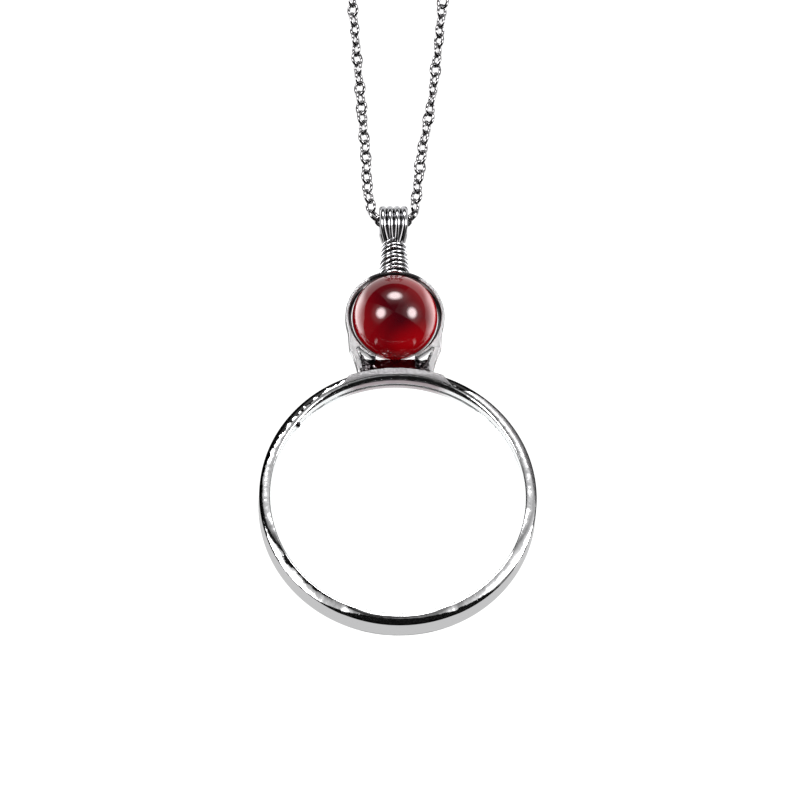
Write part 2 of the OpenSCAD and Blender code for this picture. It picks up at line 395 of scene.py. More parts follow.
def cable_tree():
    """Oval links along a route, each turned a quarter from the one before."""
    tree = Tree("cable chain", {
        "Links": "NodeSocketInt", "Link length": "NodeSocketFloat", "Link width": "NodeSocketFloat",
        "Wire radius": "NodeSocketFloat", "Link sides": "NodeSocketInt", "Wire sides": "NodeSocketInt",
        "First turn": "NodeSocketFloat", "Play": "NodeSocketFloat", "Seed": "NodeSocketInt",
        "Material": "NodeSocketMaterial",
    })
    sizes = tree.start.outputs

    def half(socket, less):
        """Half of a size, less the wire's radius."""
        halved = tree.add("ShaderNodeMath", {0: socket, 1: 0.5}, operation="MULTIPLY")
        return tree.add("ShaderNodeMath", {0: halved.outputs[0], 1: less}, operation="SUBTRACT").outputs[0]

    ring = tree.add("GeometryNodeCurvePrimitiveCircle", {"Radius": 1.0, "Resolution": sizes["Link sides"]})
    shape = tree.add("ShaderNodeCombineXYZ", {
        "X": half(sizes["Link length"], sizes["Wire radius"]),
        "Y": half(sizes["Link width"], sizes["Wire radius"]), "Z": 1.0,
    })
    oval = tree.add("GeometryNodeTransform", {"Geometry": ring.outputs[0], "Scale": shape.outputs[0]})
    section = tree.add("GeometryNodeCurvePrimitiveCircle", {
        "Radius": sizes["Wire radius"], "Resolution": sizes["Wire sides"],
    })
    link = tree.add("GeometryNodeCurveToMesh", {
        "Curve": oval.outputs[0], "Profile Curve": section.outputs[0],
    })

    path = tree.add("GeometryNodeMeshToCurve", {"Mesh": sizes["Geometry"]})
    spots = tree.add("GeometryNodeCurveToPoints", {"Curve": path.outputs[0], "Count": sizes["Links"]})
    along = tree.add("FunctionNodeAlignRotationToVector", {"Vector": spots.outputs["Tangent"]}, axis="X")
    index = tree.add("GeometryNodeInputIndex")
    parity = tree.add("ShaderNodeMath", {0: index.outputs[0], 1: 2.0}, operation="MODULO")
    quarter = tree.add("ShaderNodeMath", {0: parity.outputs[0], 1: math.pi / 2}, operation="MULTIPLY")
    turn = tree.add("ShaderNodeMath", {0: quarter.outputs[0], 1: sizes["First turn"]}, operation="ADD")
    less = tree.add("ShaderNodeMath", {0: sizes["Play"], 1: -1.0}, operation="MULTIPLY")
    play = tree.add("FunctionNodeRandomValue", {2: less.outputs[0], 3: sizes["Play"], "Seed": sizes["Seed"]})
    angle = tree.add("ShaderNodeMath", {0: turn.outputs[0], 1: play.outputs[1]}, operation="ADD")
    twist = tree.add("FunctionNodeAxisAngleToRotation", {"Axis": (1, 0, 0), "Angle": angle.outputs[0]})
    pose = tree.add(
        "FunctionNodeRotateRotation",
        {"Rotation": along.outputs[0], "Rotate By": twist.outputs[0]}, rotation_space="LOCAL",
    )
    links = tree.add("GeometryNodeInstanceOnPoints", {
        "Points": spots.outputs[0], "Instance": link.outputs[0], "Rotation": pose.outputs[0],
    })
    tree.finish(links.outputs[0])
    return tree


# Materials

# Any metal's relief: the bumps to a metre of its waves, scratches and pits, and how deep each is
WAVE_GRAIN, SCRATCH_GRAIN, PIT_GRAIN = 420.0, 5200.0, 900.0
WAVE_DEPTH, SCRATCH_DEPTH, PIT_DEPTH = 0.6 * MM, 0.03 * MM, 0.04 * MM
# The metals' marks: painted shade, a painted highlight, painted reflection bands, dark web ends and a dark
# back edge
EDGE_SHADE, UNDERSIDE_HIGHLIGHT = (0.025, 0.024, 0.025), (0.98, 0.97, 0.98)
WEB_END_DARK, TAIL_SHADE = (0.035, 0.03, 0.032), (0.07, 0.068, 0.07)
DULL_PATCH_SHADOW, BACK_EDGE_DARK = (0.34, 0.28, 0.30), (0.02, 0.019, 0.021)
BLACK_REFLECTION, GREY_REFLECTION = (0.004, 0.004, 0.004), (0.17, 0.166, 0.17)
# The bead's reds: through its middle, and of the painted glow and its brightest part
DARK_RED, GLOW_RED, BRIGHT_RED = (0.058, 0.001, 0.004), (0.48, 0.001, 0.004), (0.72, 0.002, 0.01)
# Ways out from the bead's middle: to where its painted glow gathers, and across the slanting dark band that
# the painted glow leaves
GLOW_WAY, SLANT_WAY = Vector((0.47, -0.28, -0.84)).normalized(), Vector((0.80, -0.05, 0.60)).normalized()


class Sums:
    """Short names for the nodes that work out the values and colours of a material or of the surroundings."""

    def __init__(self, tree):
        self.tree = tree

    def place(self, kind="Object"):
        return put(self.tree, "ShaderNodeTexCoord").outputs[kind]

    def away_from(self, centre):
        """Place on a piece, measured from a centre."""
        both = {0: self.place(), 1: centre}
        return put(self.tree, "ShaderNodeVectorMath", both, operation="SUBTRACT").outputs[0]

    def parts(self, vector):
        return put(self.tree, "ShaderNodeSeparateXYZ", {"Vector": vector}).outputs

    def maths(self, operation, *values, **settings):
        values = dict(enumerate(values))
        return put(self.tree, "ShaderNodeMath", values, operation=operation, **settings).outputs[0]

    def times(self, first, *others):
        for other in others:
            first = self.maths("MULTIPLY", first, other)
        return first

    def unsigned(self, value):
        return self.maths("ABSOLUTE", value)

    def dot(self, vector, axis):
        both = {0: vector, 1: axis}
        return put(self.tree, "ShaderNodeVectorMath", both, operation="DOT_PRODUCT").outputs["Value"]

    def evenly(self, value, start, end, low=0.0, high=1.0, **settings):
        """Goes from low to high while value goes from start to end."""
        limits = {"Value": value, 1: start, 2: end, 3: low, 4: high}
        return put(self.tree, "ShaderNodeMapRange", limits, **settings).outputs[0]

    def softly(self, *limits):
        """The same, but eased at both ends."""
        return self.evenly(*limits, interpolation_type="SMOOTHSTEP")

    def between(self, share, first, second):
        return put(self.tree, "ShaderNodeMix", {0: share, 2: first, 3: second}, data_type="FLOAT").outputs[0]

    def blend_colours(self, share, first, second):
        """Goes from the first colour to the second while share goes from 0 to 1."""
        first, second = (c if isinstance(c, bpy.types.NodeSocket) else (*c, 1) for c in (first, second))
        return put(self.tree, "ShaderNodeMix", {0: share, 6: first, 7: second}, data_type="RGBA").outputs[2]

    def grain(self, place, scale, detail=2.0):
        """Uneven pattern between 0 and 1."""
        noise_inputs = {"Vector": place, "Scale": scale, "Detail": detail}
        return put(self.tree, "ShaderNodeTexNoise", noise_inputs).outputs["Fac"]

    def stops_round(self, along, across, stops, interpolation="LINEAR"):
        """Two values looked up in a table of stops round a full turn, each of an angle and the two values."""
        turn = self.evenly(self.maths("ARCTAN2", along, across), -math.pi, math.pi)
        table = put(self.tree, "ShaderNodeValToRGB", {"Fac": turn})
        ramp = table.color_ramp
        ramp.interpolation = interpolation
        for k, (angle, first, second) in enumerate(stops):
            spot = (angle + 180) / 360
            stop = ramp.elements[0] if k == 0 else ramp.elements.new(spot)
            stop.position, stop.color = spot, (first, second, 0, 1)
        ramp.elements.remove(ramp.elements[-1])
        found = put(self.tree, "ShaderNodeSeparateColor", {"Color": table.outputs["Color"]}).outputs
        return found["Red"], found["Green"]


def new_material(name):
    material = bpy.data.materials.new(name)
    material.use_nodes = True
    return material, Sums(material.node_tree), material.node_tree.nodes["Principled BSDF"]


def opened(material):
    """What a finish needs to change a metal: its sums, its shader and the colour it has so far."""
    shader = material.node_tree.nodes["Principled BSDF"]
    return Sums(material.node_tree), shader, shader.inputs["Base Color"].links[0].from_socket


def polished_metal(name, colour, roughness, wave, scratch, pits):
    """Metal polished by hand, with the strength of its waves, scratches and pits."""
    material, sums, shader = new_material(name)
    place = sums.place()
    waves, fine = sums.grain(place, WAVE_GRAIN), sums.grain(place, SCRATCH_GRAIN, 3.0)
    holes = put(sums.tree, "ShaderNodeTexVoronoi", {"Vector": place, "Scale": PIT_GRAIN})
    pit = sums.evenly(holes.outputs["Distance"], 0.0, 0.16)
    bump = None
    reliefs = (waves, wave, WAVE_DEPTH), (fine, scratch, SCRATCH_DEPTH), (pit, pits, PIT_DEPTH)
    for height, strength, depth in reliefs:
        inputs = {"Height": height, "Strength": strength, "Distance": depth}
        if bump is not None:
            inputs["Normal"] = bump
        bump = put(sums.tree, "ShaderNodeBump", inputs).outputs[0]
    shade = sums.blend_colours(sums.evenly(waves, 0.0, 1.0, 0.9, 1.0), [c * 0.86 for c in colour], colour)
    rough = sums.evenly(fine, 0.3, 0.7, roughness * 0.7, roughness * 1.4)
    for socket, value in (("Normal", bump), ("Base Color", shade), ("Roughness", rough)):
        sums.tree.links.new(value, shader.inputs[socket])
    shader.inputs["Metallic"].default_value = 1.0
    return material


def shade_edges_and_light_underside(material):
    """Paints shade on the top and the sides, and a painted highlight on the bezel's underside."""
    sums, shader, plain = opened(material)
    normal = sums.place("Normal")
    flat = sums.unsigned(sums.dot(normal, (0, 1, 0)))
    from_bead = sums.parts(sums.away_from(BEAD))
    side, height = sums.unsigned(from_bead["X"]), from_bead["Z"]

    # The flat front and back stay as they are, and so do the bezel's shoulders
    shown = sums.softly(flat, 0.75, 0.97)
    shoulder = sums.softly(sums.times(side, height), 0.16 * BEAD_R**2, 0.5 * BEAD_R**2)
    shown = sums.maths("MAXIMUM", shown, shoulder)

    # So does the bezel's underside, which also gets a painted highlight
    down = sums.evenly(sums.dot(normal, (0, 0, -1)), 0.3, 0.5)
    wall = sums.evenly(flat, 0.35, 0.2)
    under = sums.times(down, wall, sums.maths("LESS_THAN", height, 0.0))
    shown = sums.maths("MAXIMUM", shown, under)

    # The middle of the bezel's top gets painted shade again
    middle = sums.softly(sums.maths("DIVIDE", side, height), 0.78, 0.6)
    top = sums.times(middle, sums.maths("GREATER_THAN", height, 0.5 * BEAD_R))
    shown = sums.maths("SUBTRACT", shown, top, use_clamp=True)

    # Painted shade on the edges, then a painted highlight on the underside
    new_colour = sums.blend_colours(shown, EDGE_SHADE, plain)
    new_colour = sums.blend_colours(under, new_colour, UNDERSIDE_HIGHLIGHT)
    sums.tree.links.new(new_colour, shader.inputs["Base Color"])
    return material


def dark_ends(material):
    """Blackens the web's left and right ends, with an uneven border."""
    sums, shader, plain = opened(material)
    place = sums.place()
    shift = sums.evenly(sums.grain(place, 1500.0), 0.0, 1.0, -1.2 * MM, 1.2 * MM)
    side = sums.maths("ADD", sums.unsigned(sums.parts(place)["X"]), shift)
    black = sums.evenly(side, 2.7 * MM, 3.5 * MM)
    new_colour = sums.blend_colours(black, plain, WEB_END_DARK)
    sums.tree.links.new(new_colour, shader.inputs["Base Color"])
    return material


def dark_tails(material):
    """Paints shade on the bail's wires between one another and just above the wound wire."""
    sums, shader, plain = opened(material)
    place = sums.place()
    shift = sums.evenly(sums.grain(place, 1800.0), 0.0, 1.0, -0.4 * MM, 0.4 * MM)
    height = sums.maths("ADD", sums.parts(place)["Z"], shift)
    above = sums.softly(height, BAIL.z - 1.55 * MM, BAIL.z - 1.25 * MM)
    side = sums.unsigned(sums.dot(sums.place("Normal"), (1, 0, 0)))
    shown = sums.times(above, sums.evenly(side, 0.70, 0.86, 1.0, 0.0))
    new_colour = sums.blend_colours(shown, TAIL_SHADE, plain)
    sums.tree.links.new(new_colour, shader.inputs["Base Color"])
    return material


# How far the ring's marks reach in from its front and back, and how rough its dull patch and grey band are
BAND_DEPTH, DULL_ROUGHNESS = 0.8 * MM, 0.3
# The black and grey bands of painted reflection along the ring's outer front edge. Columns: angle round from
# the right, and the widths of the black band and of the grey one, in millimetres
RING_REFLECTION_BANDS = [
    (-180, 0.36, 0), (-140, 0.16, 0), (-60, 0.16, 0), (-12, 0.18, 0), (4, 0.17, 0.6), (18, 0.17, 0.95),
    (50, 0.19, 1.0), (56, 0.6, 0.8), (60, 1.0, 0), (69, 1.05, 0), (76, 0.3, 0), (100, 0.3, 0), (113, 0.5, 0),
    (126, 0.98, 0), (150, 0.95, 0), (166, 0.5, 0), (179, 0.36, 0)
]


def ring_metal(material):
    """Adds the rough dull patch with painted shadow inside the ring's top, the bands of painted reflection on
    its outer front edge and its dark back edge.
    """
    sums, shader, plain = opened(material)
    from_ring = sums.parts(sums.away_from(RING))
    across, depth, height = from_ring["X"], from_ring["Y"], from_ring["Z"]
    flat = put(sums.tree, "ShaderNodeCombineXYZ", {"X": across, "Z": height}).outputs[0]
    radius = put(sums.tree, "ShaderNodeVectorMath", {0: flat}, operation="LENGTH").outputs["Value"]

    # The dull patch under the saddle is rougher, and painted shadow darkens it
    dull_and_shadowed = sums.times(
        sums.maths("LESS_THAN", radius, RING_INNER + 0.05 * MM), sums.maths("GREATER_THAN", height, 0.0),
        sums.softly(sums.unsigned(across), 6 * MM, SADDLE_HALF, 1.0, 0.0),
    )

    # Painted reflection: a black band and a rougher grey one along the outer front edge
    black_width, grey_width = sums.stops_round(height, across, RING_REFLECTION_BANDS)
    uneven = sums.evenly(sums.grain(sums.place(), 1100.0, 4.0), 0.3, 0.7, 0.65, 1.35)
    front = sums.maths("LESS_THAN", depth, BAND_DEPTH - RING_DEPTH / 2)

    def outer_band(width, soft):
        """Front band that is as wide as the width tells, in millimetres, with a border as soft as given."""
        reach = sums.maths("ADD", radius, sums.times(width, MM))
        return sums.times(sums.evenly(reach, RING_R, RING_R + soft), front)

    black, grey = outer_band(sums.times(black_width, uneven), 0.05 * MM), outer_band(grey_width, 0.2 * MM)

    behind = sums.evenly(depth, RING_DEPTH / 2 - BAND_DEPTH, RING_DEPTH / 2 - 0.3 * MM)
    lowest = sums.evenly(height, -0.86 * RING_R, -0.97 * RING_R)
    back_edge = sums.evenly(sums.times(behind, lowest, uneven), 0.35, 0.75)

    new_colour = plain
    marks = (dull_and_shadowed, DULL_PATCH_SHADOW), (grey, GREY_REFLECTION), (black, BLACK_REFLECTION), (back_edge, BACK_EDGE_DARK)
    for share, colour in marks:
        new_colour = sums.blend_colours(share, new_colour, colour)
    sums.tree.links.new(new_colour, shader.inputs["Base Color"])
    smooth = shader.inputs["Roughness"].links[0].from_socket
    rough = sums.between(sums.maths("MAXIMUM", dull_and_shadowed, grey), smooth, DULL_ROUGHNESS)
    sums.tree.links.new(rough, shader.inputs["Roughness"])
    return material


def red_glass():
    """Deep red glass, dark through its middle, with a glow painted where light gathers low on the right."""
    material, sums, shader = new_material("deep red glass")
    out = sums.away_from(BEAD)
    low = sums.dot(out, GLOW_WAY / BEAD_R)
    facing = put(sums.tree, "ShaderNodeLayerWeight", {"Blend": 0.5}).outputs["Facing"]
    # Painted light in the base colour: a glow low on the right, a brighter rim and a slanting dark band
    lit = sums.times(sums.evenly(facing, 0.45, 0.95), sums.evenly(low, -0.3, 0.5))
    glow = sums.maths("MAXIMUM", lit, sums.softly(low, 0.66, 1.15))
    glow = sums.maths("MAXIMUM", glow, sums.evenly(facing, 0.03, 0.5, 0.0, 0.2))
    slant = sums.unsigned(sums.dot(out, SLANT_WAY / BEAD_R))
    glow = sums.maths("ADD", glow, sums.evenly(slant, 0.15, 0.75, 0.0, 0.3))
    shade = sums.blend_colours(glow, DARK_RED, GLOW_RED)
    shade = sums.blend_colours(lit, shade, BRIGHT_RED)
    sums.tree.links.new(shade, shader.inputs["Base Color"])
    shader.inputs["Roughness"].default_value = 0.01
    shader.inputs["IOR"].default_value = 1.56
    shader.inputs["Transmission Weight"].default_value = 0.12
    shader.inputs["Specular Tint"].default_value = (1.0, 0.86, 0.87, 1)
    shader.inputs["Coat Weight"].default_value = 0.2
    shader.inputs["Coat Roughness"].default_value = 0.12
    return material


def clear_glass():
    material, _, shader = new_material("clear lens glass")
    shader.inputs["Base Color"].default_value = (0.98, 0.995, 0.99, 1)
    shader.inputs["Roughness"].default_value = 0.0
    shader.inputs["IOR"].default_value = 1.5
    shader.inputs["Transmission Weight"].default_value = 1.0
    return material


# The metals: name, colour, roughness, and how strong their waves, scratches and pits are
RING_SILVER = ring_metal(polished_metal("polished ring", (0.86, 0.86, 0.87), 0.06, 0.12, 0.12, 0.25))
SATIN = shade_edges_and_light_underside(polished_metal("satin silver plating", (0.48, 0.473, 0.48), 0.42, 0.06, 0.10, 0.0))
# The saddle is the satin plating darkened: its grey is painted shade
SADDLE_SHADED_METAL = shade_edges_and_light_underside(polished_metal("shaded grey saddle", (0.135, 0.132, 0.135), 0.46, 0.06, 0.10, 0.0))
BLACK_SOLDER = polished_metal("black solder", (0.06, 0.055, 0.058), 0.12, 0.8, 0.4, 0.0)
DARK_SOLDER = dark_ends(polished_metal("dark solder", (0.30, 0.27, 0.28), 0.10, 0.9, 0.5, 0.6))
# Near-black metal that stands for painted shade in the bezel's seats and round the neck
RECESS_SHADE = polished_metal("recess shade", (0.03, 0.028, 0.03), 0.45, 0.0, 0.0, 0.0)
WIRE_SILVER = polished_metal("bright drawn wire", (0.60, 0.60, 0.62), 0.09, 0.06, 0.06, 0.0)
BAIL_WIRE = dark_tails(polished_metal("bail wire", (0.55, 0.55, 0.57), 0.09, 0.06, 0.06, 0.0))
STEEL = polished_metal("grey steel chain", (0.26, 0.255, 0.26), 0.10, 0.03, 0.05, 0.0)
RED_GLASS = red_glass()
LENS_GLASS = clear_glass()


# Pieces of the setting

def make_ring():
    """Lens ring with domed faces, rounded edges and the groove that holds the lens."""
    back = dome(RING_INNER, RING_R, RING_DEPTH / 2, EDGE, EDGE, DOME_IN, DOME_OUT, 8)
    groove = LENS_RIM / 2 + 2 * GAP
    slot = [(RING_INNER, groove), (RING_INNER + LENS_SEAT + GAP, groove)]
    verts = []
    for i in range(RING_STEPS):
        a = 2 * math.pi * i / RING_STEPS
        inner = mixed(EDGE, EDGE_IN_TOP, eased(math.sin(a), *TOP_SPAN))
        worn = eased(math.cos(a - WORN_TURN), *WORN_SPAN)
        outer, cut = mixed(EDGE, EDGE_OUT_WORN, worn), mixed(OUTER_CUT, OUTER_CUT_WORN, worn)
        flank = eased(-math.sin(a), *FLANK_SPAN) * (1 - eased(-math.sin(a), *FLANK_END))
        lean = mixed(DOME_IN, DOME_IN_FLANK, flank)
        front = dome(RING_INNER, RING_R, RING_DEPTH / 2, inner, outer, lean, DOME_OUT, 12, cut)
        profile = [(r, -h) for r, h in front + slot] + list(reversed(back + slot))
        verts += [RING + Vector((r * math.cos(a), h, r * math.sin(a))) for r, h in profile]
    mesh = bpy.data.meshes.new("lens_ring")
    mesh.from_pydata(verts, [], turned_faces(RING_STEPS, len(profile)))
    return dressed(linked("lens_ring", mesh), RING_SILVER, math.radians(18))


def make_saddle():
    """Foot of the cradle on the ring's top, cut off slanting at its tips."""
    low, high = RING_R - SADDLE_WIDTH, RING_R + SADDLE_PROUD
    low_turn = math.degrees(math.asin(SADDLE_HALF / low))
    high_turn = math.degrees(math.asin(SADDLE_TOP_HALF / high))
    band = arc((0, 0), high, 90 + high_turn, 90 - high_turn, 40)
    band += arc((0, 0), low, 90 - low_turn, 90 + low_turn, 40)
    return front_plate("saddle", [band], RING, RING_DEPTH + 2 * SADDLE_PROUD, SADDLE_ROUNDING, SADDLE_SHADED_METAL)


def make_cradle():
    """Bezel and legs, bent as one flat strap that is open under the bead."""
    outer = [(p.x, p.y) for p in smooth_route([(x * MM, -h * MM) for h, x, _ in LEG], 8)]
    inner = [(p.x, p.y) for p in smooth_route([(x * MM, -h * MM) for h, _, x in LEG], 8)]
    right = (BEZEL_OVAL, 0)
    open_in = math.degrees(math.acos((OPENING_HALF - BEZEL_OVAL) / BEZEL_INNER))
    open_out = math.degrees(math.acos((OPENING_HALF - BEZEL_OVAL) / BEZEL_OUTER))
    half = outer[::-1] + arc(right, BEZEL_OUTER, -LEG_OUTSIDE, 90, 40)
    back = arc(right, BEZEL_INNER, 90, -open_in, 64)
    back += arc(right, BEZEL_OUTER, -open_out, -LEG_INSIDE, 20) + inner
    outline = half + [(-x, z) for x, z in reversed(half)] + [(-x, z) for x, z in reversed(back)] + back
    centre = Vector((0, BEZEL_BACK, 0))
    piece = front_plate("bezel_and_legs", [outline], centre, BEZEL_DEPTH, BEZEL_ROUNDING, SATIN)
    piece.data.transform(Matrix.Translation(BEAD) @ Matrix.Rotation(BEZEL_TILT, 4, "X"))
    return piece


def make_seats():
    """Dark ledges inside the bezel, behind the bead's left and right edges, thickest in their middles, whose
    darkness is painted shade.
    """
    seats, steps, rim_r = [], 32, BEZEL_INNER + 0.05 * MM
    rim = arc((BEZEL_OVAL, 0), rim_r, SEAT_LOW, SEAT_HIGH, steps)
    for k in range(steps - 1, 0, -1):
        turn = math.radians(mixed(SEAT_LOW, SEAT_HIGH, k / steps))
        radius = rim_r - SEAT * math.sin(math.pi * k / steps) ** 0.8
        rim.append((BEZEL_OVAL + radius * math.cos(turn), radius * math.sin(turn)))
    for side, name in ((1, "right_seat"), (-1, "left_seat")):
        outline = [(side * x, z) for x, z in rim]
        piece = front_plate(name, [outline], Vector((0, SEAT, 0)), SEAT, SEAT_ROUNDING, RECESS_SHADE)
        piece.data.transform(Matrix.Translation(BEAD))
        seats.append(piece)
    return seats


def make_web():
    """Sloping web between the legs, uneven like soldered metal and roughest at its ends."""
    top = BEAD.z - BEZEL_OUTER + 0.15 * MM + WEB_RISE * math.cos(WEB_SLOPE)
    low = RING.z + RING_R - 0.3 * MM
    height = (top - low) / math.cos(WEB_SLOPE)
    centre = Vector((0, WEB_BACK + WEB_RISE / 2 * math.sin(WEB_SLOPE), (top + low) / 2))
    bm = bmesh.new()
    bmesh.ops.create_grid(bm, x_segments=60, y_segments=20, size=0.5)
    bmesh.ops.rotate(bm, verts=bm.verts, cent=(0, 0, 0), matrix=Matrix.Rotation(math.pi / 2, 3, "X"))
    bmesh.ops.solidify(bm, geom=bm.faces[:], thickness=1.0)
    middle = sum(v.co.y for v in bm.verts) / len(bm.verts)
    for v in bm.verts:
        v.co = Vector((v.co.x * 2 * WEB_HALF, (v.co.y - middle) * WEB_THICK, v.co.z * height))
    bmesh.ops.rotate(bm, verts=bm.verts, cent=(0, 0, 0), matrix=Matrix.Rotation(-WEB_SLOPE, 3, "X"))
    for v in bm.verts:
        v.co += centre
        corner = min(1.0, max(0.0, abs(v.co.x) / WEB_HALF - 0.66) / 0.2)
        v.co += noise.noise_vector(v.co * WEB_GRAIN) * (WEB_ROUGH + WEB_END_ROUGH * corner)
    return finished("web", bm, DARK_SOLDER, math.radians(50))


def add_lump(bm, radius, rough, centre, stretch=1.0):
    """Ball of solder, made uneven by up to the distance rough and stretched from front to back."""
    for v in bmesh.ops.create_icosphere(bm, subdivisions=4, radius=radius)["verts"]:
        v.co.y *= stretch
        v.co += noise.noise_vector(v.co * LUMP_GRAIN) * rough
        v.co += centre


def make_solder():
    """Small lumps of solder where the web meets the legs, and seams down the legs' inner edges."""
    lumps = list(SOLDER_LUMPS)
    for side, wide in ((-1, 1.0), (1, 0.75)):
        for k in range(SEAM_LUMPS):
            x, y, z = (start + step * k for start, step in zip(SEAM_START, SEAM_STEP))
            size = wide * (0.2 + 0.02 * k) * (1 + 0.4 * noise.noise(Vector((0.7 * k, side, 0.3))))
            lumps.append((side * x, y, z, size))
    bm = bmesh.new()
    for x, y, z, size in lumps:
        add_lump(bm, size * MM, min(0.3, size) * MM, Vector((x * MM, y * MM, BEAD.z + z * MM)))
    return finished("solder", bm, BLACK_SOLDER, math.radians(60))


def make_burr():
    """Tiny burr on the ring's inner wall, at the upper left."""
    bm = bmesh.new()
    out = RING_INNER - 0.1 * MM
    spot = RING + Vector((out * math.cos(BURR_TURN), -BURR_BEFORE, out * math.sin(BURR_TURN)))
    add_lump(bm, BURR_R, 0.12 * MM, spot, 1.5)
    return finished("burr", bm, BLACK_SOLDER, math.radians(60))


def make_neck():
    """Cone under the wound wire, closed at both ends, dark as painted shade between the wire's turns."""
    profile = [(0.0, NECK[0][0])] + [(r, h) for h, r in NECK] + [(NECK_END_R, NECK_END), (0.0, NECK_END)]
    return lathe("neck", [(r * MM, -h * MM) for r, h in profile], BAIL, "Z", RECESS_SHADE, 96, closed=False)


def make_neck_foot():
    """Round wire that ends the neck on top of the bezel."""
    profile = [(NECK_FOOT_R + NECK_FOOT_WIRE * x, NECK_FOOT_WIRE * z - NECK_FOOT_BELOW)
               for x, z in arc((0, 0), 1, 0, 345, 23)]
    return lathe("neck_foot", profile, BAIL, "Z", WIRE_SILVER, 96)


def make_bail(tree):
    """Four wires bent over side by side, whose ends run down together into the neck."""
    side = LOOP_TAIL[::-1] + arc((0, 0), LOOP_R / MM, 0, 180, 15) + [(-y, z) for y, z in LOOP_TAIL]
    hairpins = []
    for i in range(LOOP_COUNT):
        x = (i - (LOOP_COUNT - 1) / 2) * LOOP_PITCH
        spots = []
        for y, z in side:
            down = min(1.0, max(0.0, (-z - CLOSE_FROM) / (CLOSE_TO - CLOSE_FROM)))
            close = 1 - TAILS_CLOSE * down**1.3
            spots.append(Vector((x * close, y * MM, z * MM)))
        hairpins.append([BAIL + p for p in smooth_route(spots, 3)])
    values = {"Wire radius": LOOP_WIRE / 2, "Sides": 16, "Material": BAIL_WIRE}
    return dressed(grown(route_mesh("bail_route", hairpins), tree, values, "bail_wires"), BAIL_WIRE)


def make_wrap(tree):
    """Thin wire wound round the neck, bowed up and rising to the right at the front."""
    steps, coil = 40, []
    count = int(WRAP_TURNS * steps)
    (top, top_r), (low, low_r) = NECK[1:]
    for i in range(count + 1):
        a = math.pi / 2 + 2 * math.pi * i / steps
        depth = WRAP_BOTTOM - (WRAP_BOTTOM - WRAP_TOP) * i / count
        r = mixed(top_r, low_r, (depth / MM - top) / (low - top)) * MM + GAP + WRAP_WIRE / 2
        x, y = r * math.cos(a), r * math.sin(a)
        wander = WRAP_WANDER * noise.noise(Vector((i * 0.09, 3.1, 7.7)))
        wander += WRAP_BOW * max(0, -math.sin(a)) ** 3
        coil.append(BAIL + Vector((x, y, -depth + wander * MM + WRAP_SLOPE * x)))
    values = {"Wire radius": WRAP_WIRE / 2, "Sides": 12, "Material": WIRE_SILVER}
    return dressed(grown(route_mesh("wrap_route", [coil]), tree, values, "wrap_wire_dressed"), WIRE_SILVER)


def make_bead():
    bm = bmesh.new()
    bmesh.ops.create_icosphere(bm, subdivisions=6, radius=BEAD_R)
    bmesh.ops.translate(bm, verts=bm.verts, vec=BEAD)
    return finished("bead_dressed", bm, RED_GLASS)


def make_lens():
    """Clear lens with two domed faces and a plain rim in the ring's groove."""
    rim, rows = RING_INNER + LENS_SEAT, 40
    low = math.sqrt(LENS_FACE_R**2 - rim**2) - LENS_RIM / 2
    spots = [rim * k / rows for k in range(rows + 1)]
    face = [(r, math.sqrt(LENS_FACE_R**2 - r**2) - low) for r in spots]
    profile = face + [(r, -h) for r, h in reversed(face)]
    return lathe("lens_dressed", profile, RING, "Y", LENS_GLASS, 256, closed=False)


# Chain and clasp

def make_chain():
    """Oval links along the whole loop, as many as the route's length asks for."""
    dense = [BAIL + Vector((p.x, 0, p.y)) * MM for p in smooth_route(CHAIN_ROUTE, 12)]
    length = sum((b - a).length for a, b in zip(dense, dense[1:]))
    links = round(length / LINK_PITCH) + 1
    values = {
        "Links": links, "Link length": LINK_LENGTH, "Link width": LINK_WIDTH, "Wire radius": LINK_WIRE / 2,
        "Link sides": 14, "Wire sides": 6, "First turn": math.pi / 4, "Play": LINK_PLAY, "Seed": 5,
        "Material": STEEL,
    }
    piece = grown(route_mesh("chain_route", [dense]), cable_tree(), values, "chain_links")
    print("chain:", links, "links over", round(length / MM), "mm")
    return piece


def make_clasp():
    """Plain claw with an eye at its other end."""
    low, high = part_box("clasp")
    half, wide = (high.x - low.x) / 2, (high.y - low.y) / 2
    claw_x, eye_x = half - wide, half - CLASP_EYE
    turn = math.degrees(math.asin(CLASP_EYE / wide))
    outline = arc((claw_x, 0), wide, 180 - turn, turn - 180, 64) + arc((-eye_x, 0), CLASP_EYE, 270, 90, 32)
    slot = arc((claw_x, 0), CLASP_SLOT, -90, 90, 32) + arc((CLASP_SLOT_LEFT, 0), CLASP_SLOT, 90, 270, 32)
    hole = arc((-eye_x, 0), CLASP_HOLE, 0, 360, 31)
    outlines = [outline, slot, hole]
    piece = front_plate("clasp_dressed", outlines, Vector(), high.z - low.z, CLASP_ROUNDING, STEEL)
    flat = Matrix.Translation((0, 0, (low.z + high.z) / 2)) @ Matrix.Rotation(math.pi / 2, 4, "X")
    piece.data.transform(flat)
    return piece


# Camera and surroundings

PIXEL = 0.162 * MM
BAIL_PIXEL = (393.4, 222.3)
IMAGE_CENTRE = (400, 400)
CAMERA_BELOW = math.radians(23.7)
CAMERA_LEFT = math.radians(2.0)
CAMERA_ROLL = math.radians(0.84)
CAMERA_DISTANCE = 4.0
# The bail is a little further away than the ring, so that a pixel there stands for this much more
BAIL_FURTHER = 1.005


